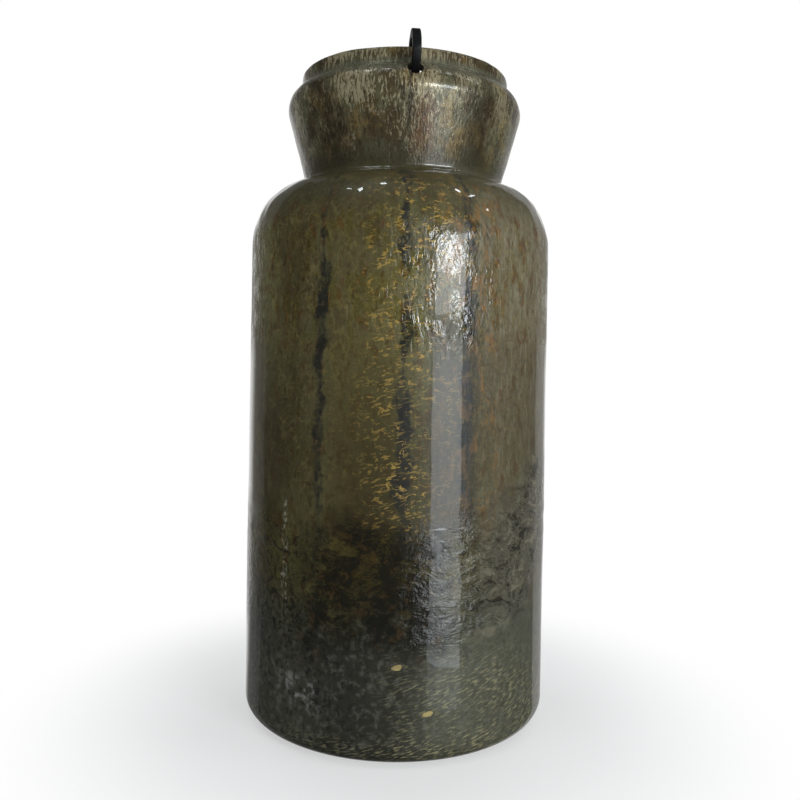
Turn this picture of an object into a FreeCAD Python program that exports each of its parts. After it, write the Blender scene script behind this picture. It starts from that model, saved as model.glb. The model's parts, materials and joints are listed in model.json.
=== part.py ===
import FreeCAD, Part
import math
import os

# A blown-glass jar lantern: a straight-sided jar with a flared collar, an iron ring hung through a
# drilled hole at the front and at the rear of its mouth, and a pillar candle standing on its floor.
# Millimetres, +Z up. The origin is the middle of the foot, and the front ring is on the -Y side.

# Jar, outside, from the foot up
body_diameter = 180.0
foot_width = 18.0           # flat ring that the jar stands on
push_up = 5.0               # hollow pressed up into the underside
heel_radius = 11.5
body_height = 275.0         # from the foot to where the shoulder starts to turn in
shoulder_low_radius = 49.0
shoulder_low_turn = 28.0    # degrees that the lower shoulder curve turns through
shoulder_top_radius = 27.0
shoulder_top_turn = 44.0
shoulder_run = 7.2          # straight slope from the shoulder into the neck crease
neck_fillet = 3.0
collar_flare = 11.0         # how far the collar stands out past the neck
collar_rise = 42.6          # from the neck crease up to the widest part of the collar
collar_round = 13.3
rim_inset = 8.2             # how far the rim band stands in from the collar
groove_fillet = 2.0
rim_band = 7.6              # from the groove up to the lip

# Jar, inside
wall = 4.0
floor_height = 12.0         # the candle's floor, above the foot
inner_heel_radius = 14.0

# Hanging rings: square bar bent round and closed to a butt gap
ring_bar = 4.8
ring_edge = 0.6             # rounding of the bar's long edges
ring_headroom = 4.0         # from the lip up to the eye's highest point
ring_butt_gap = 0.8
ring_hole_place = 36.0      # degrees up the collar's round, where the hole goes through
ring_hole_tilt = 25.0       # degrees that the hole slopes up going out
ring_clearance = 1.0        # round the bar's corners in its hole

# Pillar candle
candle_diameter = 76.0
candle_height = 150.0
candle_foot_edge = 1.5
candle_top_edge = 4.0
candle_dish = 2.5           # depth of the hollow round the wick
wick_diameter = 2.4
wick_stand = 5.0            # straight part above the wax
wick_bend_radius = 9.0
wick_bend = 40.0            # degrees that the trimmed end leans over

UP = FreeCAD.Vector(0, 0, 1)
ORIGIN = FreeCAD.Vector(0, 0, 0)

# Turns about +Z that carry a piece drawn on the +X side of the jar to the front and to the rear
FRONT = -90
REAR = 90


def at(radius, height):
    """A point of the half profile, drawn in the XZ plane."""
    return FreeCAD.Vector(radius, 0, height)


def toward(degrees):
    """Unit direction in the half profile, counted from straight outward to straight up."""
    turn = math.radians(degrees)
    return at(math.cos(turn), math.sin(turn))


def angle_of(direction):
    return math.degrees(math.atan2(direction.z, direction.x))


def line(start, end):
    return Part.LineSegment(start, end).toShape()


def arc(centre, radius, start, end):
    middle = (start + end) / 2
    points = [centre + toward(degrees) * radius for degrees in (start, middle, end)]
    return Part.Arc(*points).toShape()


def joined(curves):
    """One wire: the given curves in order, with a straight line across each gap between them."""
    edges = [curves[0]]
    for curve in curves[1:]:
        start = curve.firstVertex(True).Point
        end = edges[-1].lastVertex(True).Point
        if not start.isEqual(end, 1e-6):
            edges.append(line(end, start))
        edges.append(curve)
    return Part.Wire(edges)


def turned_back(curves):
    return [curve.reversed() for curve in reversed(curves)]


def revolved(wire):
    return Part.Face(wire).revolve(ORIGIN, UP, 360)


# Tangent chain of the jar's outside: every curve starts where the one below it ends.
body_radius = body_diameter / 2
shoulder_turn = shoulder_low_turn + shoulder_top_turn
low_centre = at(body_radius - shoulder_low_radius, body_height)
top_centre = low_centre + toward(shoulder_low_turn) * (shoulder_low_radius - shoulder_top_radius)
neck_centre = (
    top_centre
    + toward(shoulder_turn) * (shoulder_top_radius + neck_fillet)
    + toward(shoulder_turn + 90) * shoulder_run
)
collar_radius = neck_centre.x - neck_fillet + collar_flare
collar_centre = at(collar_radius - collar_round, neck_centre.z + collar_rise)
neck_to_collar = collar_centre - neck_centre
collar_lean = math.degrees(math.asin((neck_fillet + collar_round) / neck_to_collar.Length))
collar_slope = angle_of(neck_to_collar) - collar_lean
rim_radius = collar_radius - rim_inset
groove_reach = collar_round + groove_fillet
groove_rise = math.sqrt(groove_reach**2 - (groove_reach - rim_inset) ** 2)
groove_centre = at(rim_radius + groove_fillet, collar_centre.z + groove_rise)
groove_turn = angle_of(groove_centre - collar_centre)
jar_height = groove_centre.z + rim_band

# The hole's middle lies half way through the collar's wall, and the ring's bar runs through it along the hole.
hole_middle = collar_centre + toward(ring_hole_place) * (collar_round - wall / 2)
hole_diameter = ring_bar * math.sqrt(2) + 2 * ring_clearance
ring_rise = jar_height + ring_headroom + ring_bar / 2 - hole_middle.z
ring_radius = ring_rise / (1 + math.cos(math.radians(ring_hole_tilt)))
ring_centre = hole_middle + toward(ring_hole_tilt + 90) * ring_radius

candle_top = floor_height + candle_height
wick_radius = wick_diameter / 2


def side_curves(inset):
    """The jar's side from the shoulder to the groove, on a surface set in from the outside by inset."""
    return [
        arc(low_centre, shoulder_low_radius - inset, 0, shoulder_low_turn),
        arc(top_centre, shoulder_top_radius - inset, shoulder_low_turn, shoulder_turn),
        arc(neck_centre, neck_fillet + inset, shoulder_turn + 180, collar_slope + 90),
        arc(collar_centre, collar_round - inset, collar_slope - 90, groove_turn),
        arc(groove_centre, groove_fillet + inset, groove_turn + 180, 180),
    ]


def ring_hole(side):
    length = 4 * wall
    along = toward(ring_hole_tilt)
    drill = Part.makeCylinder(hole_diameter / 2, length, hole_middle - along * (length / 2), along)
    return drill.rotated(ORIGIN, UP, side)


def glass_jar():
    """Blown jar: even wall from lip to shoulder, heavy floor, pushed-up underside, drilled ring holes."""
    foot_outer = body_radius - heel_radius
    foot_inner = foot_outer - foot_width
    dome_radius = (foot_inner**2 + push_up**2) / (2 * push_up)
    dome_turn = math.degrees(math.asin(foot_inner / dome_radius))
    dome = arc(at(0, push_up - dome_radius), dome_radius, 90, 90 - dome_turn)
    heel = arc(at(foot_outer, heel_radius), heel_radius, -90, 0)
    lip = arc(at(rim_radius - wall / 2, jar_height - wall / 2), wall / 2, 0, 180)
    inner_heel_centre = at(body_radius - wall - inner_heel_radius, floor_height + inner_heel_radius)
    inner_heel = arc(inner_heel_centre, inner_heel_radius, 0, -90)
    axis = line(at(0, floor_height), at(0, push_up))
    outside = [dome, heel] + side_curves(0)
    inside = turned_back(side_curves(wall)) + [inner_heel]
    jar = revolved(joined(outside + [lip] + inside + [axis]))
    return jar.cut([ring_hole(FRONT), ring_hole(REAR)])


def hanging_ring(side):
    """Square bar bent round in the jar's radial plane, its ends butted inside the mouth."""
    half = ring_bar / 2
    near = -ring_radius + half
    far = -ring_radius - half
    corners = [(near, -half), (near, half), (far, half), (far, -half), (near, -half)]
    section = Part.Face(Part.makePolygon([FreeCAD.Vector(x, y, 0) for x, y in corners]))
    bend_axis = FreeCAD.Vector(0, 1, 0)
    gap_turn = math.degrees(ring_butt_gap / ring_radius)
    section.rotate(ORIGIN, bend_axis, gap_turn / 2)
    bar = section.revolve(ORIGIN, bend_axis, 360 - gap_turn)
    long_edges = [edge for edge in bar.Edges if isinstance(edge.Curve, Part.Circle)]
    ring = bar.makeFillet(ring_edge, long_edges)
    ring.translate(ring_centre)
    return ring.rotated(ORIGIN, UP, side)


def pillar_candle():
    """Wax pillar with eased edges and a shallow hollow in its top, cast round the wick."""
    radius = candle_diameter / 2
    dish_reach = radius - candle_top_edge
    dish_radius = (dish_reach**2 + candle_dish**2) / (2 * candle_dish)
    dish_turn = math.degrees(math.asin(dish_reach / dish_radius))
    dish_low = candle_top - candle_dish
    foot_corner = at(radius - candle_foot_edge, floor_height + candle_foot_edge)
    foot = arc(foot_corner, candle_foot_edge, -90, 0)
    top = arc(at(dish_reach, candle_top - candle_top_edge), candle_top_edge, 0, 90)
    dish = arc(at(0, dish_low + dish_radius), dish_radius, dish_turn - 90, -90)
    axis = line(at(0, dish_low), at(0, floor_height))
    base = line(at(0, floor_height), at(foot_corner.x, floor_height))
    wax = revolved(joined([base, foot, top, dish, axis]))
    return wax.cut(Part.makeCylinder(wick_radius, candle_height, at(0, floor_height)))


def candle_wick():
    """Braided cotton cord from the candle's foot to a trimmed end that leans over."""
    stand_top = candle_top - candle_dish + wick_stand
    straight = line(at(0, floor_height), at(0, stand_top))
    bend = arc(at(wick_bend_radius, stand_top), wick_bend_radius, 180, 180 - wick_bend)
    section = Part.Wire(Part.makeCircle(wick_radius, at(0, floor_height), UP))
    return Part.Wire([straight, bend]).makePipeShell([section], True, True)


pieces = {
    "glass_jar": glass_jar(),
    "front_hanging_ring": hanging_ring(FRONT),
    "rear_hanging_ring": hanging_ring(REAR),
    "pillar_candle": pillar_candle(),
    "candle_wick": candle_wick(),
}

os.makedirs("parts", exist_ok=True)
for name, shape in pieces.items():
    shape.exportStep(os.path.join("parts", name + ".step"))
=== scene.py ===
import json
import math

import bmesh
import bpy
from mathutils import Matrix, Vector, noise


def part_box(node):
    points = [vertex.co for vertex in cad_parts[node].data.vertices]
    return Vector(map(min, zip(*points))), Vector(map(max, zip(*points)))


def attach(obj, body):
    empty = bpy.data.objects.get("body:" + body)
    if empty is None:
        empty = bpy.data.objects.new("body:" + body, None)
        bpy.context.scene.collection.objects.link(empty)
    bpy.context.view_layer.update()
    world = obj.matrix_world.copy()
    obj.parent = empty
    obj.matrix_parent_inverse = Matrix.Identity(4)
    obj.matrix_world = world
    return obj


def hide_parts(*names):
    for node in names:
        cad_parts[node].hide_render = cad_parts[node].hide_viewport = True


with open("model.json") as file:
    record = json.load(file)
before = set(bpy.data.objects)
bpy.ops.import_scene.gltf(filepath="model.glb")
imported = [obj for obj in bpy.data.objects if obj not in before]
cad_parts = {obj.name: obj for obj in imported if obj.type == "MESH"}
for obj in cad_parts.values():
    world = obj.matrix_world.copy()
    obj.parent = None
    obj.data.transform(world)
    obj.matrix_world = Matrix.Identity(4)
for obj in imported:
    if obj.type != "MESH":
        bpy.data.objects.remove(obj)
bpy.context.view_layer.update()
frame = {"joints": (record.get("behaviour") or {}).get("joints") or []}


# Glass jar
# One piece of blown glass: straight body, rounded shoulder, creased neck, flared collar and short rim band.
# Its wall keeps the waves and dents of blowing, two ring holes are drilled, and silvering lines the inside.
BODY_RADIUS = 0.090
HEEL_RADIUS = 0.0115
FOOT_WIDTH = 0.018
PUSH_UP = 0.005
BODY_HEIGHT = 0.275
SHOULDER_LOW_RADIUS = 0.049
SHOULDER_LOW_TURN = 28.0
SHOULDER_TOP_RADIUS = 0.027
SHOULDER_TURN = 72.0
SHOULDER_RUN = 0.0072
NECK_FILLET = 0.003
COLLAR_FLARE = 0.011
COLLAR_RISE = 0.0426
COLLAR_ROUND = 0.0133
RIM_INSET = 0.0082
GROOVE_FILLET = 0.002
RIM_BAND = 0.0076
WALL = 0.004
FLOOR_HEIGHT = 0.012
INNER_HEEL_RADIUS = 0.014
OUTER_ROW = 0.0021
INNER_ROW = 0.008
JAR_SIDES = 288


def toward(degrees):
    """Unit direction in the half profile, from straight outward (0) to straight up (90)."""
    turn = math.radians(degrees)
    return Vector((math.cos(turn), math.sin(turn)))


def arc(centre, radius, start, end, row):
    """Points round an arc of the half profile, about one row apart."""
    steps = max(3, math.ceil(abs(radius * math.radians(end - start)) / row))
    return [centre + toward(start + (end - start) * step / steps) * radius for step in range(steps + 1)]


def in_rows(points, row):
    """The same line with its long straight runs cut into rows."""
    rows = [points[0]]
    for point in points[1:]:
        run = point - rows[-1]
        start = rows[-1]
        cuts = max(1, math.ceil(run.length / row))
        rows += [start + run * cut / cuts for cut in range(1, cuts + 1)]
    return rows


low_centre = Vector((BODY_RADIUS - SHOULDER_LOW_RADIUS, BODY_HEIGHT))
top_centre = low_centre + toward(SHOULDER_LOW_TURN) * (SHOULDER_LOW_RADIUS - SHOULDER_TOP_RADIUS)
neck_centre = top_centre + toward(SHOULDER_TURN) * (SHOULDER_TOP_RADIUS + NECK_FILLET)
neck_centre += toward(SHOULDER_TURN + 90) * SHOULDER_RUN
collar_radius = neck_centre.x - NECK_FILLET + COLLAR_FLARE
collar_centre = Vector((collar_radius - COLLAR_ROUND, neck_centre.y + COLLAR_RISE))
neck_to_collar = collar_centre - neck_centre
collar_slope = math.degrees(
    math.atan2(neck_to_collar.y, neck_to_collar.x)
    - math.asin((NECK_FILLET + COLLAR_ROUND) / neck_to_collar.length)
)
rim_radius = collar_radius - RIM_INSET
groove_reach = COLLAR_ROUND + GROOVE_FILLET
groove_rise = math.sqrt(groove_reach**2 - (groove_reach - RIM_INSET) ** 2)
groove_centre = Vector((rim_radius + GROOVE_FILLET, collar_centre.y + groove_rise))
groove_turn = math.degrees(math.atan2(groove_rise, groove_centre.x - collar_centre.x))
jar_height = groove_centre.y + RIM_BAND


def jar_side(inset, row):
    """The jar's side from the shoulder to the groove, set in from the outside by inset."""
    side = arc(low_centre, SHOULDER_LOW_RADIUS - inset, 0, SHOULDER_LOW_TURN, row)
    side += arc(top_centre, SHOULDER_TOP_RADIUS - inset, SHOULDER_LOW_TURN, SHOULDER_TURN, row)
    side += arc(neck_centre, NECK_FILLET + inset, SHOULDER_TURN + 180, collar_slope + 90, row / 2)
    side += arc(collar_centre, COLLAR_ROUND - inset, collar_slope - 90, groove_turn, row / 2)
    side += arc(groove_centre, GROOVE_FILLET + inset, groove_turn + 180, 180, row / 2)
    return side


foot_outer = BODY_RADIUS - HEEL_RADIUS
foot_inner = foot_outer - FOOT_WIDTH
dome_radius = (foot_inner**2 + PUSH_UP**2) / (2 * PUSH_UP)
dome_turn = math.degrees(math.asin(foot_inner / dome_radius))
lip_centre = Vector((rim_radius - WALL / 2, jar_height - WALL / 2))
inner_heel_centre = Vector((BODY_RADIUS - WALL - INNER_HEEL_RADIUS, FLOOR_HEIGHT + INNER_HEEL_RADIUS))

underside = arc(Vector((0, PUSH_UP - dome_radius)), dome_radius, 90, 90 - dome_turn, INNER_ROW)
heel = arc(Vector((foot_outer, HEEL_RADIUS)), HEEL_RADIUS, -90, 0, OUTER_ROW)
lip = arc(lip_centre, WALL / 2, 0, 180, OUTER_ROW / 3)
inner_heel = arc(inner_heel_centre, INNER_HEEL_RADIUS, 0, -90, INNER_ROW / 2)
outside = in_rows(underside + heel + jar_side(0, OUTER_ROW) + lip, OUTER_ROW)
inside = in_rows(jar_side(WALL, INNER_ROW)[::-1] + inner_heel + [Vector((0, FLOOR_HEIGHT))], INNER_ROW)


def spun(profile, sides):
    """A closed solid turned about the upright axis from a half profile."""
    made = bmesh.new()
    ring = [made.verts.new((point.x, 0, point.y)) for point in profile]
    edges = [made.edges.new(pair) for pair in zip(ring, ring[1:])]
    bmesh.ops.spin(
        made,
        geom=ring + edges,
        cent=(0, 0, 0),
        axis=(0, 0, 1),
        angle=2 * math.pi,
        steps=sides,
        use_merge=True,
    )
    bmesh.ops.remove_doubles(made, verts=made.verts, dist=1e-6)
    bmesh.ops.recalc_face_normals(made, faces=made.faces)
    made.normal_update()
    return made


def settle(made, name, sharp_degrees=40):
    """A new object from a finished bmesh, smooth apart from its sharp edges."""
    mesh = bpy.data.meshes.new(name)
    made.to_mesh(mesh)
    made.free()
    mesh.shade_smooth()
    mesh.set_sharp_from_angle(angle=math.radians(sharp_degrees))
    piece = bpy.data.objects.new(name, mesh)
    bpy.context.scene.collection.objects.link(piece)
    return piece


def rise(value, low, high):
    """0 below low, 1 above high, smooth between. It falls if low is above high."""
    share = min(1, max(0, (value - low) / (high - low)))
    return share * share * (3 - 2 * share)


SLOW_WAVE = 0.00022
RIPPLE = 0.000028
SHOULDER_DENT = 0.00042
FOLD = 0.00034
FOLD_HEIGHT = 0.118
NECK_LEAN = 0.0009
RIM_TILT = 0.009
RIM_LIFT = 0.0003

jar_mesh = spun(outside + inside, JAR_SIDES)
for vert in jar_mesh.verts:
    spot = vert.co
    wave = SLOW_WAVE * noise.noise(spot * 24)
    ripple = RIPPLE * noise.noise(Vector((spot.x, spot.y, spot.z * 0.7)) * 130)
    on_shoulder = rise(spot.z, 0.268, 0.285) * (1 - 0.6 * rise(spot.z, 0.312, 0.330))
    dent = SHOULDER_DENT * on_shoulder * noise.noise(spot * 110)
    near_fold = rise(abs(spot.z - FOLD_HEIGHT + 0.012 * noise.noise(spot * 22)), 0.022, 0.004)
    fold = FOLD * near_fold * noise.noise(Vector((spot.x * 60, spot.y * 60, spot.z * 190)))
    off_foot = rise(spot.z, 0.002, 0.010)
    off_ring = 1 - rise(spot.z, 0.328, 0.344) * rise(abs(spot.x), 0.036, 0.020)
    lean = Vector((NECK_LEAN, 0, RIM_LIFT - RIM_TILT * spot.x)) * rise(spot.z, 0.296, 0.330)
    vert.co += (vert.normal * off_foot * (wave + ripple + dent + fold) + lean) * off_ring

jar = settle(jar_mesh, "silvered_jar")

# The holes are round drillings along the hinge lines of the rings.
ring_joints = [joint for joint in frame["joints"] if joint["type"] == "hinge"]
HOLE_RADIUS = 0.0044
HOLE_LENGTH = 4 * WALL
HOLE_SIDES = 48
drill_mesh = bmesh.new()
for joint in ring_joints:
    along = Vector(joint["axis"])
    aim = Matrix.Translation(joint["pos_m"]) @ along.to_track_quat("Z", "Y").to_matrix().to_4x4()
    bmesh.ops.create_cone(
        drill_mesh,
        cap_ends=True,
        segments=HOLE_SIDES,
        radius1=HOLE_RADIUS,
        radius2=HOLE_RADIUS,
        depth=HOLE_LENGTH,
        matrix=aim,
    )
drill = settle(drill_mesh, "drill")
drilling = jar.modifiers.new("drilling", "BOOLEAN")
drilling.object = drill
drilling.solver = "EXACT"
drilled = bpy.data.meshes.new_from_object(jar.evaluated_get(bpy.context.evaluated_depsgraph_get()))
jar.modifiers.clear()
jar.data = drilled
bpy.data.objects.remove(drill)
drilled.set_sharp_from_angle(angle=math.radians(40))


class Signal:
    """A socket of a node tree. Operators on it add Math nodes, and node() adds any other."""

    def __init__(self, tree, socket=None):
        self.tree = tree
        self.socket = socket

    def node(self, kind, settings=None, inputs=None, output=0):
        made = self.tree.nodes.new("ShaderNode" + kind)
        for name, value in (settings or {}).items():
            setattr(made, name, value)
        for name, value in (inputs or {}).items():
            if isinstance(value, Signal):
                self.tree.links.new(value.socket, made.inputs[name])
            else:
                made.inputs[name].default_value = value
        return Signal(self.tree, made.outputs[output])

    def maths(self, operation, first, second=0.0):
        return self.node("Math", {"operation": operation}, {0: first, 1: second})

    def __add__(self, other):
        return self.maths("ADD", self, other)

    def __sub__(self, other):
        return self.maths("SUBTRACT", self, other)

    def __rsub__(self, other):
        return self.maths("SUBTRACT", other, self)

    def __mul__(self, other):
        return self.maths("MULTIPLY", self, other)

    def __abs__(self):
        return self.maths("ABSOLUTE", self)

    __radd__ = __add__
    __rmul__ = __mul__

    def rise(self, low, high):
        """0 below low, 1 above high, smooth between. It falls if low is above high."""
        ends = {"Value": self, "From Min": low, "From Max": high}
        return self.node("MapRange", {"interpolation_type": "SMOOTHSTEP"}, ends)

    def paint(self, under, over):
        """The colour under, covered by the colour over as far as this mask says."""
        return self.node("Mix", {"data_type": "RGBA"}, {0: self, 6: under, 7: over}, 2)

    def stretch(self, x, y, z):
        return self.node("VectorMath", {"operation": "MULTIPLY"}, {0: self, 1: (x, y, z)})

    def grain(self, size, detail=2.0, roughness=0.5, distortion=0.0):
        """Noise whose blotches are about size metres apart."""
        settings = {"Vector": self, "Scale": 1 / size, "Detail": detail}
        return self.node("TexNoise", None, settings | {"Roughness": roughness, "Distortion": distortion})


def seen(red, green, blue):
    """A colour as the eye reads it, in 0 to 255, turned into the shader's linear values."""
    shares = [value / 255 for value in (red, green, blue)]
    linear = [share / 12.92 if share <= 0.04045 else ((share + 0.055) / 1.055) ** 2.4 for share in shares]
    return (*linear, 1.0)


def fresh_material(name):
    """A new material with its shader, and a signal that carries the piece's own coordinates."""
    material = bpy.data.materials.new(name)
    material.use_nodes = True
    tree = material.node_tree
    shader = tree.nodes["Principled BSDF"]
    return material, shader, Signal(tree).node("TexCoord", output="Object")


def feed(shader, name, signal):
    """Link a signal into one of a shader's inputs."""
    signal.tree.links.new(signal.socket, shader.inputs[name])


def bump(height, strength, distance):
    """A surface normal that follows a height."""
    inputs = {"Strength": strength, "Distance": distance, "Height": height}
    return height.node("Bump", None, inputs, "Normal")


# The silvering was floated on the inside of the clear wall and eaten back by acid. It is olive and brown, with
# curled gold flakes, dark runs where it came away, a smoky belt low down and upright dashes on the collar.
OLIVE = seen(99, 96, 59)
BROWN_OLIVE = seen(70, 62, 31)
GREY_BROWN = seen(106, 97, 76)
PALE_FIBRE = seen(138, 132, 110)
PALE_OLIVE = seen(130, 121, 72)
PAINTED_GLINT = seen(182, 180, 164)
RUST_FLECK = seen(84, 54, 26)
SPOT_BROWN = seen(62, 45, 20)
GOLD = seen(166, 136, 66)
RUST = seen(136, 99, 50)
AMBER_DARK = seen(58, 50, 20)
FINE_DARK = seen(50, 44, 26)
FOLD_GREY = seen(104, 103, 92)
RUN_BLACK = seen(32, 33, 30)
SMOKE = seen(27, 26, 21)
SMOKE_BROWN = seen(62, 47, 28)
LOW_DARK = seen(47, 48, 40)
LOW_GREEN = seen(82, 83, 68)
LOW_PALE = seen(112, 113, 100)
DASH_YELLOW = seen(150, 143, 106)
DOT_DARK = seen(36, 37, 31)
SCUFF = seen(170, 170, 166)
COLLAR_OLIVE = seen(94, 90, 66)
COLLAR_BROWN = seen(78, 67, 46)
COLLAR_BEIGE = seen(176, 166, 133)
COLLAR_GOLD = seen(142, 116, 66)
AMBER_GOLD = seen(92, 76, 28)
COLLAR_RUST = seen(104, 70, 36)
COLLAR_INK = seen(46, 37, 24)
BARE_GLASS = seen(98, 100, 82)
NECK_SHADE_OLIVE = seen(66, 64, 46)
SHOULDER_SHADE_OLIVE = seen(60, 58, 37)
SCRAP_GOLD = seen(178, 160, 104)
SCRAPS = ((-4.1, 0.0524), (6.0, 0.0282))
FRONT_RUNS = ((-32, 0.7), (-3.5, 1.2), (18, 0.9))
REAR_RUNS = ((-168, 1.0), (-131, 0.9), (-97, 1.1), (72, 0.9), (116, 1.1), (149, 0.9))
DEGREE = BODY_RADIUS * math.pi / 180
COLLAR_DEGREE = 0.00122
GLINT_LINE_TURN = -46.4
SCUFF_TURN = -38
SCUFF_HEIGHT = 0.028
THIN_SILVER_TURN = 14
BELT_HEIGHT = 0.092
BELT_LIFT = 0.030
RUST_RUN_TURN = 4
DARK_LINE_TURN = -2.3
BARE_GROOVE_HEIGHT = 0.3695

silvering, silver_shader, place = fresh_material("silvered_glass")
axes = place.tree.nodes.new("ShaderNodeSeparateXYZ")
place.tree.links.new(place.socket, axes.inputs[0])
x, y, z = (Signal(place.tree, socket) for socket in axes.outputs)
turn = x.maths("ARCTAN2", x, y * -1) * (180 / math.pi)
around = turn * DEGREE

# Tarnish of the body: clouds of olive and brown, upright fibres on the greyer side, brown flecks, and a dark
# stretch right of the front where the silver is thin.
tone = place.stretch(1, 1, 0.45).grain(0.055, 3)
fibre = place.stretch(1, 1, 0.24).grain(0.0025, 3, 0.6)
fine = place.stretch(1, 1, 0.7).grain(0.0017, 3, 0.6)
fleck = place.stretch(1, 1, 0.5).grain(0.0052, 3, 0.6)
grey_side = turn.rise(14, 34) * turn.rise(150, 110)
colour = tone.rise(0.38, 0.60).paint(BROWN_OLIVE, OLIVE)
colour = (grey_side * 0.75).paint(colour, GREY_BROWN)
colour = (fibre.rise(0.42, 0.70) * (0.08 + grey_side * 0.40)).paint(colour, PALE_FIBRE)
mottle = place.stretch(1, 1, 0.8).grain(0.0072, 4, 0.7, 0.6)
colour = (mottle.rise(0.50, 0.66) * (1 - grey_side) * 0.34).paint(colour, PALE_OLIVE)
colour = (fine.rise(0.52, 0.78) * 0.42).paint(colour, PALE_OLIVE)
colour = (fine.rise(0.46, 0.26) * 0.50).paint(colour, FINE_DARK)
colour = ((fleck + (tone - 0.5) * 0.2).rise(0.54, 0.64) * 0.6).paint(colour, RUST_FLECK)
spot_mark = place.stretch(1, 1, 0.7).grain(0.0030, 2, 0.6) + (mottle - 0.5) * 0.35
colour = (spot_mark.rise(0.58, 0.65) * (1 - grey_side * 0.5) * 0.6).paint(colour, SPOT_BROWN)
golden = turn.rise(-34, -24) * turn.rise(2, -8) * tone.rise(0.36, 0.60)
colour = (golden * 0.42).paint(colour, AMBER_GOLD)
# The top of the shoulder, up to the neck crease, is painted darker olive: painted shade, holding back the
# light the lamps overhead put on it.
colour = (z.rise(0.284, 0.302) * 0.38).paint(colour, SHOULDER_SHADE_OLIVE)
amber_front = turn.rise(-32, -18) * turn.rise(18, 4)
colour = (z.rise(0.245, 0.150) * (0.34 + amber_front * 0.34)).paint(colour, AMBER_DARK)
thin_silver = abs(turn - THIN_SILVER_TURN).rise(11, 6) * z.rise(0.105, 0.125) * z.rise(0.250, 0.215)
colour = (thin_silver * 0.8).paint(colour, FINE_DARK)

# Lower zone, cooler and stony, with slanted dashes to the right of the front and dots to the left
lower = (z + (place.grain(0.03) - 0.5) * 0.05).rise(0.094, 0.060)
stone = place.grain(0.0036, 3, 0.6)
low_tone = (turn.rise(-6, 15) + turn.rise(-26, -44) * 0.45).paint(LOW_DARK, LOW_GREEN)
colour = (lower * 0.9).paint(colour, low_tone)
colour = (stone.rise(0.46, 0.70) * lower * 0.42).paint(colour, LOW_PALE)
left_side = 1 - turn.rise(-24, -6) * turn.rise(160, 120)
colour = (place.grain(0.0030, 2).rise(0.56, 0.64) * (0.3 + left_side * 0.6) * lower).paint(colour, DOT_DARK)
slant = place.node("CombineXYZ", None, {0: around, 1: (z - around * 0.26) * 4.4, 2: 0.0})
dash = slant.grain(0.0043, 2).rise(0.52, 0.64)
dash_place = turn.rise(-16, 8) * turn.rise(165, 120) * (z + (tone - 0.5) * 0.06).rise(0.080, 0.040)
dash_place = dash_place + z.rise(0.018, 0.010) * abs(turn).rise(178, 165) * 0.6
dash_patch = 0.3 + place.grain(0.013, 4, 0.6).rise(0.38, 0.56) * 0.7
colour = (dash * dash_place * dash_patch * 0.75).paint(colour, DASH_YELLOW)
for scrap_turn, scrap_height in SCRAPS:
    beside = around - scrap_turn * DEGREE
    above = (z - scrap_height - beside * 0.25) * 2.2
    reach = beside.maths("SQRT", beside * beside + above * above)
    colour = (reach + (stone - 0.5) * 0.006).rise(0.0036, 0.0024).paint(colour, SCRAP_GOLD)
# Pale flecks along an upright line left of the front, low on the body: painted glints, light caught on the
# glass painted into the colour.
painted_glint_line = abs(turn - GLINT_LINE_TURN + (mottle - 0.5) * 6).rise(2.0, 0.4)
painted_glint_line = painted_glint_line * z.rise(0.066, 0.080) * z.rise(0.140, 0.126)
colour = (painted_glint_line * fine.rise(0.50, 0.62) * 0.75).paint(colour, PAINTED_GLINT)
scuff_place = abs(turn - SCUFF_TURN).rise(15, 3) * abs(z + around * 0.1 - SCUFF_HEIGHT).rise(0.013, 0.002)
colour = (scuff_place * place.grain(0.005, 4, 0.65).rise(0.50, 0.64) * 0.5).paint(colour, SCUFF)

# Smoky belt, darkest at the front, wrinkled to the right of it
belt_height = BELT_HEIGHT + turn.rise(22, 62) * turn.rise(150, 110) * BELT_LIFT
belt_zone = abs(z + (place.grain(0.04, 4) - 0.5) * 0.05 - belt_height).rise(0.046, 0.018)
colour = (belt_zone * grey_side * 0.6).paint(colour, FOLD_GREY)
belt_front = turn.rise(-44, -30) * turn.rise(18, 8)
belt_cloud = place.stretch(1, 1, 1.3).grain(0.017, 6, 0.72, 0.5)
belt = belt_zone * belt_cloud.rise(0.34, 0.52) * (0.26 + belt_front * 0.62)
smoke_colour = place.grain(0.009, 5, 0.7).rise(0.51, 0.62).paint(SMOKE, SMOKE_BROWN)
colour = belt.paint(colour, smoke_colour)
crease = place.stretch(0.75, 0.75, 1.2).grain(0.0085, 4, 0.62, 0.9)
colour = (crease.rise(0.55, 0.64) * belt_zone * 0.7).paint(colour, SMOKE)
wrinkle = abs(place.stretch(1, 1, 1.4).grain(0.0075, 4, 0.65, 1.0) - 0.5).rise(0.040, 0.006)
colour = (wrinkle * belt_zone * 0.55).paint(colour, SMOKE)
colour = (crease.rise(0.46, 0.36) * belt_zone * grey_side * 0.5).paint(colour, PALE_FIBRE)

# Dark runs, ragged at the sides and broken along their length
sway = (place.stretch(0.3, 0.3, 1).grain(0.030, 3) - 0.5) * 0.012
ragged = (place.stretch(1, 1, 0.55).grain(0.0042, 4, 0.7) - 0.5) * 0.0090
swell = place.stretch(0.5, 0.5, 1).grain(0.024, 3, 0.6).rise(0.34, 0.66) * 0.0050 - 0.0004
runs = 0.0
for run_turn, run_width in FRONT_RUNS + REAR_RUNS:
    beside = abs(around - run_turn * DEGREE + sway)
    runs = runs + (beside + ragged - swell * run_width).rise(0.0014, -0.0012)
run_mask = runs * (0.5 + mottle.rise(0.36, 0.56) * 0.5) * z.rise(0.112, 0.140) * z.rise(0.322, 0.302)
colour = (run_mask * 0.95).paint(colour, RUN_BLACK)

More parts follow.
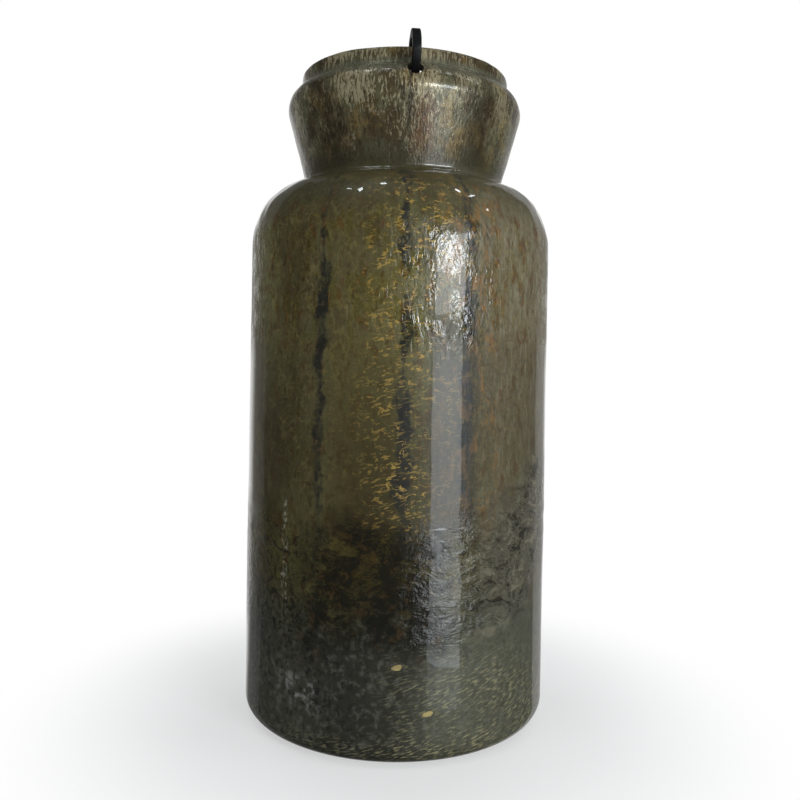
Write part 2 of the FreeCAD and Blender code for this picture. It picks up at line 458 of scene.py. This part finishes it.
# Curled gold flakes over them, and rust splashes to the right
curl = place.stretch(0.65, 0.65, 1.6).grain(0.0058, 2, 0.5, 0.9)
thin = abs(curl - 0.5).rise(0.045, 0.012)
broken = place.grain(0.0036, 2).rise(0.47, 0.58)
cluster = place.stretch(1, 1, 0.6).grain(0.024, 3).rise(0.34, 0.60)
band = (z + (tone - 0.5) * 0.06).rise(0.115, 0.150) * z.rise(0.318, 0.290)
flake_side = abs(turn - 2).rise(26, 6) + abs(abs(turn) - 150).rise(36, 10)
flake = thin * broken * band * (0.12 + flake_side * (0.34 + cluster * 0.60))
splash_side = abs(turn - 19).rise(17, 5) + abs(turn + 100).rise(20, 6)
splash = place.stretch(1, 1, 0.5).grain(0.0070, 4, 0.7, 0.8).rise(0.47, 0.58) * fleck.rise(0.40, 0.56)
splash = splash * splash_side * band * (1 - thin_silver * 0.6)
flake_rows = place.node("CombineXYZ", None, {0: around, 1: (z - around * 0.30) * 3.6, 2: 0.0})
short_flake = flake_rows.grain(0.0056, 2, 0.5, 0.4).rise(0.59, 0.65) * turn.rise(-24, -8) * turn.rise(8, 0)
short_flake = short_flake * z.rise(0.112, 0.130) * z.rise(0.245, 0.200) * (0.35 + cluster * 0.65)
colour = (short_flake * 0.62).paint(colour, GOLD)
colour = (flake * (1 - thin_silver * 0.7)).paint(colour, GOLD)
colour = (splash * 0.7).paint(colour, RUST)

# Collar, groove and rim: upright dashes in clumps over olive and brown, a rusty run under the front ring
upright = place.stretch(1, 1, 0.21).grain(0.0013, 3, 0.6, 0.7)
clump = place.stretch(1, 1, 0.55).grain(0.022, 3)
collar_low = z.rise(0.356, 0.338)
collar_dash = (upright + (clump - 0.5) * 0.85 - collar_low * 0.07).rise(0.47, 0.58)
collar = place.stretch(1, 1, 0.7).grain(0.016, 3).rise(0.42, 0.58).paint(COLLAR_OLIVE, COLLAR_BROWN)
collar = (place.grain(0.017, 4, 0.6).rise(0.52, 0.66) * 0.5).paint(collar, COLLAR_GOLD)
rust_run = abs(turn - RUST_RUN_TURN + (place.grain(0.006, 2) - 0.5) * 14).rise(9, 2)
collar = (rust_run * 0.5).paint(collar, COLLAR_RUST)
dash_cover = 0.72 - collar_low * 0.30 - turn.rise(2, 20) * 0.26
collar = (collar_dash * dash_cover).paint(collar, COLLAR_BEIGE)
ink = place.stretch(1, 1, 0.3).grain(0.0017, 3, 0.65, 0.5).rise(0.55, 0.63)
# Two dark upright patches on the collar, at equal turns either side of the front.
dark_collar_patches = abs(abs(turn + 4) - 37 + (place.grain(0.012, 3) - 0.5) * 16).rise(11, 3)
dark_collar_patches = dark_collar_patches * (z + (fleck - 0.5) * 0.03).rise(0.368, 0.350)
blotch = place.stretch(1, 1, 0.6).grain(0.012, 6, 0.72, 0.6).rise(0.53, 0.60)
collar = (blotch * 0.50).paint(collar, COLLAR_INK)
collar = (ink * 0.62).paint(collar, COLLAR_INK)
collar = (dark_collar_patches * 0.62).paint(collar, COLLAR_INK)
# A thin dark upright line on the collar, just left of the front ring.
dark_line = (abs(turn - DARK_LINE_TURN) * COLLAR_DEGREE + (mottle - 0.5) * 0.004).rise(0.0017, 0.0004)
dark_line = dark_line * z.rise(0.326, 0.338)
collar = (dark_line * 0.75).paint(collar, COLLAR_INK)
collar = (abs(z - BARE_GROOVE_HEIGHT).rise(0.0052, 0.0030) * 0.6).paint(collar, BARE_GLASS)
# The lowest part of the collar, just above the neck crease, is painted darker olive: painted shade in the
# crease.
collar = (z.rise(0.332, 0.318) * 0.7).paint(collar, NECK_SHADE_OLIVE)
on_collar = z.rise(0.311, 0.321)
colour = on_collar.paint(colour, collar)

crumpled = (z + (tone - 0.5) * 0.03).rise(0.204, 0.230) * z.rise(0.292, 0.280)
crushed = belt_zone * z.rise(0.044, 0.066)
foil = place.stretch(1, 1, 0.50).grain(0.0042, 2, 0.5, 1.6)
ledge = place.stretch(0.6, 0.6, 1.7).grain(0.0056, 4, 0.6, 0.7)
gap = place.stretch(1, 1, 0.55).grain(0.010, 3, 0.6, 0.8).rise(0.45, 0.54)
relief = fibre * 0.22 + fine * 0.12 + on_collar * upright * 0.4
relief = relief + crumpled * foil * 0.80 + crushed * (crease * 1.3 + ledge * 0.9)
feed(silver_shader, "Base Color", colour)
matt = 1 - crumpled * (1 - gap) - crushed * 0.85 - on_collar * 0.7
feed(silver_shader, "Roughness", 0.10 + fine * 0.14 + matt * 0.28)
feed(silver_shader, "Metallic", (0.10 + on_collar * 0.10) * (1 - crumpled) * (1 - run_mask))
feed(silver_shader, "Normal", bump(relief, 1.0, 0.0007))
feed(silver_shader, "Coat Weight", 1 - crumpled * 0.85 - crushed * 0.85 - on_collar * 0.75)
silver_shader.inputs["Coat Roughness"].default_value = 0.03
silver_shader.inputs["Coat IOR"].default_value = 1.5

# Back of the silvering, seen down through the mouth: dull paint with the same tarnish, no gloss over it
BACK_PALE = seen(128, 120, 96)
BACK_DARK = seen(80, 68, 48)
lining, lining_shader, place = fresh_material("silvering_back")
speckle = place.grain(0.004, 3, 0.6)
cloud = place.stretch(1, 1, 0.4).grain(0.05, 3)
colour = (cloud.rise(0.35, 0.65) * 0.6 + speckle.rise(0.35, 0.7) * 0.4).paint(BACK_DARK, BACK_PALE)
feed(lining_shader, "Base Color", colour)
feed(lining_shader, "Roughness", 0.45 + speckle * 0.3)
feed(lining_shader, "Normal", bump(speckle, 0.3, 0.0005))
lining_shader.inputs["Metallic"].default_value = 0.3

jar.data.materials.append(silvering)
jar.data.materials.append(lining)
for face in jar.data.polygons:
    spot = face.center
    outward = Vector((spot.x, spot.y, 0)).normalized().dot(face.normal)
    below_lip = spot.z < jar_height - WALL
    in_jar = FLOOR_HEIGHT - 0.001 < spot.z < BODY_HEIGHT and spot.xy.length < BODY_RADIUS - 2 * WALL
    over_floor = in_jar and face.normal.z > 0.5
    inner_side = outward < -0.15 and spot.z > FLOOR_HEIGHT
    if below_lip and (inner_side or over_floor):
        face.material_index = 1
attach(jar, "jar")
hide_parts("glass_jar")


# Hanging rings
# Square iron bar, bent hot through the collar's hole and round over the rim, closed to a butt joint.
# Blackened and waxed, with the soft edges and shallow flats of hand forging.
RING_EDGE = 0.0007
RING_EDGE_STEPS = 4
RING_BUTT_GAP = 0.0008
RING_STEPS = 72
FORGE_DENT = 0.00009
IRON_BLACK = seen(27, 27, 27)
IRON_WORN = seen(58, 57, 55)

iron, iron_shader, place = fresh_material("black_iron")
scale_mark = place.grain(0.0022, 3, 0.6)
worn = place.grain(0.006, 2).rise(0.58, 0.75)
feed(iron_shader, "Base Color", (worn * 0.6).paint(IRON_BLACK, IRON_WORN))
feed(iron_shader, "Roughness", 0.40 + scale_mark * 0.25)
feed(iron_shader, "Normal", bump(scale_mark, 0.35, 0.0003))
iron_shader.inputs["Metallic"].default_value = 0.6

for side in ("front", "rear"):
    low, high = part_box(side + "_hanging_ring")
    middle = (low + high) / 2
    bar = high.x - low.x
    bend_radius = (high.z - low.z - bar) / 2
    inward = -math.copysign(1, middle.y)
    gap_turn = RING_BUTT_GAP / bend_radius
    ring_mesh = bmesh.new()
    bmesh.ops.create_grid(ring_mesh, x_segments=1, y_segments=1, size=bar / 2)
    bmesh.ops.bevel(
        ring_mesh,
        geom=ring_mesh.verts[:],
        offset=RING_EDGE,
        affect="VERTICES",
        segments=RING_EDGE_STEPS,
        profile=0.5,
        material=-1,
    )
    bmesh.ops.translate(ring_mesh, verts=ring_mesh.verts, vec=(0, inward * bend_radius, 0))
    start_turn = Matrix.Rotation(gap_turn / 2, 3, "X")
    bmesh.ops.rotate(ring_mesh, verts=ring_mesh.verts, cent=(0, 0, 0), matrix=start_turn)
    bmesh.ops.spin(
        ring_mesh,
        geom=ring_mesh.verts[:] + ring_mesh.edges[:] + ring_mesh.faces[:],
        cent=(0, 0, 0),
        axis=(1, 0, 0),
        angle=2 * math.pi - gap_turn,
        steps=RING_STEPS,
    )
    bmesh.ops.remove_doubles(ring_mesh, verts=ring_mesh.verts, dist=1e-6)
    bmesh.ops.recalc_face_normals(ring_mesh, faces=ring_mesh.faces)
    ring_mesh.normal_update()
    for vert in ring_mesh.verts:
        vert.co += vert.normal * FORGE_DENT * (noise.noise(vert.co * 260 + middle) - 0.6)
    bmesh.ops.translate(ring_mesh, verts=ring_mesh.verts, vec=middle)
    ring = settle(ring_mesh, side + "_iron_ring", 30)
    ring.data.materials.append(iron)
    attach(ring, side + "_ring")
    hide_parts(side + "_hanging_ring")


# Pillar candle
# Ivory wax cast in a mould round its wick, with eased edges, faint pour lines and bloom.
# It stands loose on the jar's floor, and its top has sunk to a shallow hollow as the wax cooled.
CANDLE_TOP_EDGE = 0.004
CANDLE_FOOT_EDGE = 0.0015
CANDLE_DISH = 0.0025
CANDLE_SIDES = 96
CANDLE_ROW = 0.005
CAST_WAVE = 0.00018
WAX = seen(228, 214, 183)
WAX_BLOOM = seen(233, 221, 194)

low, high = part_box("pillar_candle")
candle_radius = (high.x - low.x) / 2
dish_reach = candle_radius - CANDLE_TOP_EDGE
dish_radius = (dish_reach**2 + CANDLE_DISH**2) / (2 * CANDLE_DISH)
dish_turn = math.degrees(math.asin(dish_reach / dish_radius))
foot_round = Vector((candle_radius - CANDLE_FOOT_EDGE, low.z + CANDLE_FOOT_EDGE))
top_round = Vector((dish_reach, high.z - CANDLE_TOP_EDGE))
dish_centre = Vector((0, high.z - CANDLE_DISH + dish_radius))
candle_line = [Vector((0, low.z))]
candle_line += arc(foot_round, CANDLE_FOOT_EDGE, -90, 0, CANDLE_FOOT_EDGE / 2)
candle_line += arc(top_round, CANDLE_TOP_EDGE, 0, 90, CANDLE_TOP_EDGE / 4)
candle_line += arc(dish_centre, dish_radius, dish_turn - 90, -90, CANDLE_ROW)
candle_mesh = spun(in_rows(candle_line, CANDLE_ROW), CANDLE_SIDES)
for vert in candle_mesh.verts:
    lifted = rise(vert.co.z, low.z, low.z + CANDLE_ROW)
    vert.co -= vert.normal * CAST_WAVE * lifted * (0.5 + 0.5 * noise.noise(vert.co * 45))
candle = settle(candle_mesh, "wax_pillar")

wax, wax_shader, place = fresh_material("ivory_wax")
bloom = place.stretch(1, 1, 2).grain(0.02, 4, 0.6)
feed(wax_shader, "Base Color", bloom.rise(0.4, 0.7).paint(WAX, WAX_BLOOM))
feed(wax_shader, "Roughness", 0.38 + bloom * 0.25)
feed(wax_shader, "Normal", bump(place.grain(0.003, 3), 0.12, 0.0004))
wax_shader.inputs["Subsurface Weight"].default_value = 0.25
wax_shader.inputs["Subsurface Scale"].default_value = 0.006
candle.data.materials.append(wax)
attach(candle, "candle")
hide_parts("pillar_candle")


# Candle wick
# Cotton strands laid up in a twist, cast into the wax and trimmed so that the end leans over.
STRANDS = 3
STRAND_SIDES = 8
STRAND_SHARE = 0.54
LAY_LENGTH = 0.006
WICK_STEPS = 260
WICK_STAND = 0.005
WICK_BEND_RADIUS = 0.009
COTTON = seen(214, 204, 180)
COTTON_GREY = seen(150, 140, 120)

low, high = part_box("candle_wick")
wick_radius = high.y
stand_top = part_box("pillar_candle")[1].z - CANDLE_DISH + WICK_STAND
wick_mesh = bmesh.new()
strand_radius = wick_radius * STRAND_SHARE
for strand in range(STRANDS):
    angle = 2 * math.pi * strand / STRANDS
    offset = Vector((math.cos(angle), math.sin(angle), 0)) * (wick_radius - strand_radius)
    at_foot = Matrix.Translation(offset + Vector((0, 0, low.z)))
    circle = bmesh.ops.create_circle(
        wick_mesh, segments=STRAND_SIDES, radius=strand_radius, cap_ends=True, matrix=at_foot
    )
    section = circle["verts"]
    faces = list({face for vert in section for face in vert.link_faces})
    edges = list({edge for vert in section for edge in vert.link_edges})
    height = high.z - low.z - wick_radius * 0.3
    bmesh.ops.spin(
        wick_mesh,
        geom=section + edges + faces,
        cent=(0, 0, 0),
        axis=(0, 0, 1),
        dvec=(0, 0, height / WICK_STEPS),
        angle=2 * math.pi * height / LAY_LENGTH,
        steps=WICK_STEPS,
    )
for vert in wick_mesh.verts:
    past = vert.co.z - stand_top
    if past > 0:
        lean = past / WICK_BEND_RADIUS
        reach = WICK_BEND_RADIUS - vert.co.x
        across = WICK_BEND_RADIUS - reach * math.cos(lean)
        vert.co = Vector((across, vert.co.y, stand_top + reach * math.sin(lean)))
bmesh.ops.recalc_face_normals(wick_mesh, faces=wick_mesh.faces)
wick = settle(wick_mesh, "twisted_wick", 50)

cotton, cotton_shader, place = fresh_material("wick_cotton")
fibre = place.stretch(1, 1, 0.4).grain(0.0004, 2)
feed(cotton_shader, "Base Color", fibre.rise(0.35, 0.65).paint(COTTON_GREY, COTTON))
feed(cotton_shader, "Normal", bump(fibre, 0.4, 0.0001))
cotton_shader.inputs["Roughness"].default_value = 0.9
wick.data.materials.append(cotton)
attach(wick, "candle")
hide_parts("candle_wick")


# Studio
# A white floor that fades into a white surround, a tall window to the right of the camera, a row of lamps
# overhead and soft fills that the glass does not mirror. The room in front of the jar is dark.
FLOOR_SIZE = 6.0
FLOOR_WHITE = seen(240, 240, 239)
FLOOR_GLOW = 0.5
SHADOW_REACH = 0.10
FADE_REACH = 0.24
SURROUND = 0.31
DARK_ROOM = 0.03
LIGHT_BEHIND = 0.26

floor_mesh = bmesh.new()
bmesh.ops.create_grid(floor_mesh, x_segments=1, y_segments=1, size=FLOOR_SIZE / 2)
floor = settle(floor_mesh, "floor")
paper, paper_shader, place = fresh_material("white_paper")
paper_shader.inputs["Base Color"].default_value = FLOOR_WHITE
paper_shader.inputs["Roughness"].default_value = 0.9
paper_shader.inputs["Specular IOR Level"].default_value = 0.0
away = place.node("VectorMath", {"operation": "LENGTH"}, {0: place}, "Value").rise(SHADOW_REACH, FADE_REACH)
to_camera = place.node("LightPath", output="Is Camera Ray")
white = place.node("Emission", None, {"Color": (1, 1, 1, 1), "Strength": 1.0})
plain = Signal(place.tree, paper_shader.outputs[0])
glow = to_camera * (FLOOR_GLOW + away * (1 - FLOOR_GLOW))
shown = place.node("MixShader", None, {0: glow, 1: plain, 2: white})
place.tree.links.new(shown.socket, place.tree.nodes["Material Output"].inputs["Surface"])
floor.data.materials.append(paper)
floor.visible_glossy = False

world = bpy.data.worlds.new("surround")
bpy.context.scene.world = world
world.use_nodes = True
sky = Signal(world.node_tree).node("TexCoord", output="Generated")
backward = sky.node("SeparateXYZ", None, {0: sky}, "Y")
behind = backward.rise(0.545, 0.57)
backdrop = backward.rise(0.80, 0.92)
to_the_right = sky.node("SeparateXYZ", None, {0: sky}, "X").rise(-0.3, 0.6)
to_camera = sky.node("LightPath", output="Is Camera Ray")
through_glass = sky.node("LightPath", output="Is Transmission Ray")
to_gloss = sky.node("LightPath", output="Is Glossy Ray")
room = DARK_ROOM + behind * LIGHT_BEHIND * (0.45 + to_the_right * 0.95)
gloss_light = room + backdrop * (1 - room)
surround_light = to_gloss * gloss_light + (1 - to_gloss) * SURROUND
straight = to_camera + through_glass
strength = straight + (1 - straight) * surround_light
background = world.node_tree.nodes["Background"]
background.inputs["Color"].default_value = (1, 1, 1, 1)
feed(background, "Strength", strength)

WINDOW_COOL = (0.89, 0.95, 1.0)
CAMERA_DISTANCE = 0.5073
CAMERA_HEIGHT = 0.2066
CAMERA_TURN = math.radians(5.4)
CAMERA_ROLL = math.radians(1.016)
CAMERA_LENS = 36.91
CAMERA_SHIFT = (0.0021, -0.0441)


def soft_light(name, turn_degrees, distance, low, high, width, brightness, in_gloss=True):
    """A flat soft light that faces the jar's axis, turned right of the camera's side by turn_degrees."""
    turn = math.radians(turn_degrees) - CAMERA_TURN
    lamp = bpy.data.lights.new(name, "AREA")
    lamp.shape = "RECTANGLE"
    lamp.color = WINDOW_COOL
    lamp.size = width
    lamp.size_y = high - low
    lamp.energy = brightness * math.pi * width * (high - low)
    holder = bpy.data.objects.new(name, lamp)
    spot = Vector((math.sin(turn), -math.cos(turn), 0)) * distance
    holder.matrix_world = (
        Matrix.Translation(spot + Vector((0, 0, (low + high) / 2)))
        @ Matrix.Rotation(turn, 4, "Z")
        @ Matrix.Rotation(math.pi / 2, 4, "X")
    )
    holder.visible_camera = False
    holder.visible_glossy = in_gloss
    bpy.context.scene.collection.objects.link(holder)
    return holder


soft_light("window_top", 36, 1.2, 0.300, 0.475, 0.47, 25.0)
soft_light("window_middle", 35, 1.2, -0.115, 0.298, 0.45, 2.4)
soft_light("window_low", 36, 1.2, -0.250, -0.118, 0.52, 11.0)
soft_light("window_sill", 36, 1.2, -0.310, -0.252, 0.52, 6.0)
soft_light("window_apron", 36, 1.2, -0.360, -0.312, 0.52, 2.8)
soft_light("window_foot", 36, 1.2, -0.450, -0.362, 0.50, 0.6)
soft_light("right_key", 62, 1.6, 0.1, 1.3, 1.2, 0.85, in_gloss=False)
soft_light("left_fill", -48, 1.6, 0.1, 1.3, 1.2, 0.5, in_gloss=False)
soft_light("rear_right", 150, 1.8, 0.1, 1.3, 1.2, 2.6, in_gloss=False)
soft_light("rear_left", -140, 1.8, 0.1, 1.3, 1.2, 2.6, in_gloss=False)

CEILING_LAMPS = (-0.57, -0.26, 0.62, 1.05, 1.46)
CEILING_HEIGHT = 1.5
CEILING_FORWARD = -0.35
CEILING_LAMP_SIZE = 0.12
CEILING_BRIGHTNESS = 16.0
for lamp_x in CEILING_LAMPS:
    ceiling_data = bpy.data.lights.new("ceiling", "AREA")
    ceiling_data.size = CEILING_LAMP_SIZE
    ceiling_data.energy = CEILING_BRIGHTNESS * math.pi * CEILING_LAMP_SIZE**2
    ceiling_data.color = WINDOW_COOL
    ceiling = bpy.data.objects.new("ceiling", ceiling_data)
    ceiling.location = (lamp_x, CEILING_FORWARD, CEILING_HEIGHT)
    ceiling.visible_camera = False
    bpy.context.scene.collection.objects.link(ceiling)

camera_data = bpy.data.cameras.new("camera")
camera_data.sensor_width = 36.0
camera_data.lens = CAMERA_LENS
camera_data.shift_x, camera_data.shift_y = CAMERA_SHIFT
camera_data.clip_start = 0.01
camera = bpy.data.objects.new("camera", camera_data)
stand = Vector((-math.sin(CAMERA_TURN), -math.cos(CAMERA_TURN), 0)) * CAMERA_DISTANCE
camera.matrix_world = (
    Matrix.Translation(stand + Vector((0, 0, CAMERA_HEIGHT)))
    @ Matrix.Rotation(-CAMERA_TURN, 4, "Z")
    @ Matrix.Rotation(math.pi / 2, 4, "X")
    @ Matrix.Rotation(CAMERA_ROLL, 4, "Z")
)
bpy.context.scene.collection.objects.link(camera)
bpy.context.scene.camera = camera
bpy.context.scene.view_settings.view_transform = "Standard"
